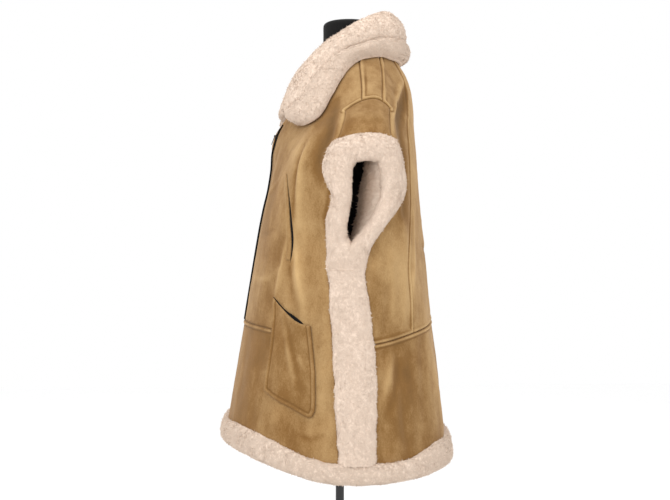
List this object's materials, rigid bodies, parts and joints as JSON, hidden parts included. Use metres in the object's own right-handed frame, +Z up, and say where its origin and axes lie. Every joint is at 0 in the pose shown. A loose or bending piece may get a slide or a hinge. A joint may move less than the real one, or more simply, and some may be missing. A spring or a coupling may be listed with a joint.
{
  "type": "sheepskin coat with cap sleeves on a limbless dress form",
  "caption": "A-line sheepskin coat, suede outside and wool at collar, cuffs, side bands and hem, worn by a black dress form on a pole with a round base",
  "frame": {"origin": "centre of the base's underside, on the pole's axis", "axes": "+Z up, -Y the coat's front, +X the wearer's left"},
  "size_m": [0.7026, 0.5299, 1.515],
  "materials": {
    "suede": "brushed suede, tan, with a soft nap",
    "wool": "curly cream shearling wool",
    "form_cloth": "black jersey over a hard form",
    "black_metal": "satin black paint",
    "zip_tape": "black woven tape with dark teeth",
    "zip_metal": "black coated metal"
  },
  "bodies": {
    "coat_and_form": {"back_centre_L": "suede", "back_centre_R": "suede", "back_lower_L": "suede", "back_lower_R": "suede", "back_side_L": "suede", "back_side_R": "suede", "cap_sleeve_L": "suede", "cap_sleeve_R": "suede", "collar": "wool", "collar_edge": "wool", "cuff_fur_L": "wool", "cuff_fur_R": "wool", "form_base": "black_metal", "form_neck_cap": "form_cloth", "form_pole": "black_metal", "form_torso": "form_cloth", "front_centre_lower_L": "suede", "front_centre_lower_R": "suede", "front_centre_upper_L": "suede", "front_centre_upper_R": "suede", "hem_fur_back_L": "wool", "hem_fur_back_R": "wool", "hem_fur_front_L": "wool", "hem_fur_front_R": "wool", "hem_fur_side_L": "wool", "hem_fur_side_R": "wool", "patch_pocket_L": "suede", "patch_pocket_R": "suede", "shoulder_strap_L": "suede", "shoulder_strap_R": "suede", "side_band_L": "wool", "side_band_R": "wool", "side_front_L": "suede", "side_front_R": "suede", "slit_welt_L": "suede", "slit_welt_R": "suede", "zip_ear_L": "zip_metal", "zip_ear_R": "zip_metal", "zip_slider": "zip_metal", "zip_strip": "zip_tape"},
    "pull_tab": {"zip_tab": "zip_metal"}
  },
  "joints": [
    {"name": "tab_hinge", "type": "hinge", "parent": "coat_and_form", "child": "pull_tab", "pos_m": [0, -0.14637, 1.23555], "axis": [-1, 0, 0], "range_deg": [0, 100]}
  ]
}
